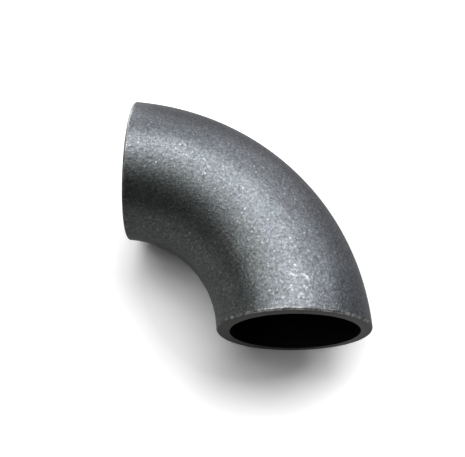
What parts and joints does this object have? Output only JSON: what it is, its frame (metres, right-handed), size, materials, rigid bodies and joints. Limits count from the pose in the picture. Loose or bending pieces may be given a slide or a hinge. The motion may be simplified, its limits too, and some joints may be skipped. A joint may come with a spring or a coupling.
{
  "type": "butt weld elbow",
  "caption": "Right-angle long radius pipe elbow of bare shot-blasted steel, hollow throughout, with square-cut ends for butt welding into a pipe run.",
  "frame": {"origin": "centre of the face of end A, on the centre line of the pipe's outside", "axes": "-Y out of end A, -X out of end B, +Z square to the plane of the bend; the bend turns about the upright line at x = -48 mm, y = 0"},
  "size_m": [0.0691, 0.0691, 0.0422],
  "materials": {
    "blasted_steel": "dark grey shot-blasted steel with a fine even grain"
  },
  "bodies": {
    "root": {"elbow": "blasted_steel"}
  },
  "joints": []
}
